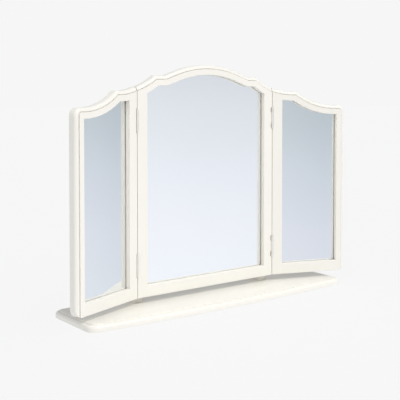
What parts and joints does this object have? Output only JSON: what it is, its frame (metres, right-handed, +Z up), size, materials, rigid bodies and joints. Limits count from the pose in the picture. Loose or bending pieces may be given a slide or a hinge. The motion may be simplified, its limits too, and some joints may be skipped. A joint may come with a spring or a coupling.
{
  "type": "dressing table mirror",
  "caption": "Cream three-panel dressing table mirror: an arched centre panel fixed above a moulded base board, with a scalloped mirror wing hinged on each side.",
  "frame": {"origin": "bottom centre of the whole mirror with its wings folded forward as in the picture, on the plane the felt pads stand on", "axes": "+Z up, +X to the right of someone facing the mirrors, which look towards -Y; the centre panel stands in the XZ plane"},
  "size_m": [0.7748, 0.179, 0.5413],
  "materials": {
    "cream_paint": "smooth satin cream paint on wood",
    "mirror_glass": "polished float glass silvered behind",
    "hardboard": "matt brown hardboard",
    "zinc_steel": "zinc-plated steel",
    "nickel_plate": "satin nickel-plated steel",
    "beech": "raw fluted beech",
    "felt": "short-pile felt"
  },
  "bodies": {
    "stand": {"base_board": "cream_paint", "base_felt_pads": "felt", "base_to_post_screws": "zinc_steel", "centre_backing_board": "hardboard", "centre_backing_clips": "zinc_steel", "centre_bottom_rail": "cream_paint", "centre_clip_screws": "zinc_steel", "centre_frame_dowels": "beech", "centre_hinge_screws": "nickel_plate", "centre_left_stile": "cream_paint", "centre_mirror": "mirror_glass", "centre_right_stile": "cream_paint", "centre_top_rail": "cream_paint", "left_lower_hinge_fixed_leaf": "nickel_plate", "left_lower_hinge_pin": "nickel_plate", "left_rear_post": "cream_paint", "left_upper_hinge_fixed_leaf": "nickel_plate", "left_upper_hinge_pin": "nickel_plate", "post_to_stile_screws": "zinc_steel", "right_lower_hinge_fixed_leaf": "nickel_plate", "right_lower_hinge_pin": "nickel_plate", "right_rear_post": "cream_paint", "right_upper_hinge_fixed_leaf": "nickel_plate", "right_upper_hinge_pin": "nickel_plate"},
    "left_wing": {"left_backing_board": "hardboard", "left_backing_clips": "zinc_steel", "left_bottom_rail": "cream_paint", "left_clip_screws": "zinc_steel", "left_frame_dowels": "beech", "left_hinge_screws": "nickel_plate", "left_hinge_stile": "cream_paint", "left_lower_hinge_moving_leaf": "nickel_plate", "left_mirror": "mirror_glass", "left_outer_stile": "cream_paint", "left_top_rail": "cream_paint", "left_upper_hinge_moving_leaf": "nickel_plate"},
    "right_wing": {"right_backing_board": "hardboard", "right_backing_clips": "zinc_steel", "right_bottom_rail": "cream_paint", "right_clip_screws": "zinc_steel", "right_frame_dowels": "beech", "right_hinge_screws": "nickel_plate", "right_hinge_stile": "cream_paint", "right_lower_hinge_moving_leaf": "nickel_plate", "right_mirror": "mirror_glass", "right_outer_stile": "cream_paint", "right_top_rail": "cream_paint", "right_upper_hinge_moving_leaf": "nickel_plate"}
  },
  "joints": [
    {"name": "left_wing_hinge", "type": "hinge", "parent": "stand", "child": "left_wing", "pos_m": [-0.1963, 0.0045, 0.26], "axis": [0, 0, 1], "range_deg": [-22, 160]},
    {"name": "right_wing_hinge", "type": "hinge", "parent": "stand", "child": "right_wing", "pos_m": [0.1963, 0.0045, 0.26], "axis": [0, 0, -1], "range_deg": [-22, 160]}
  ]
}
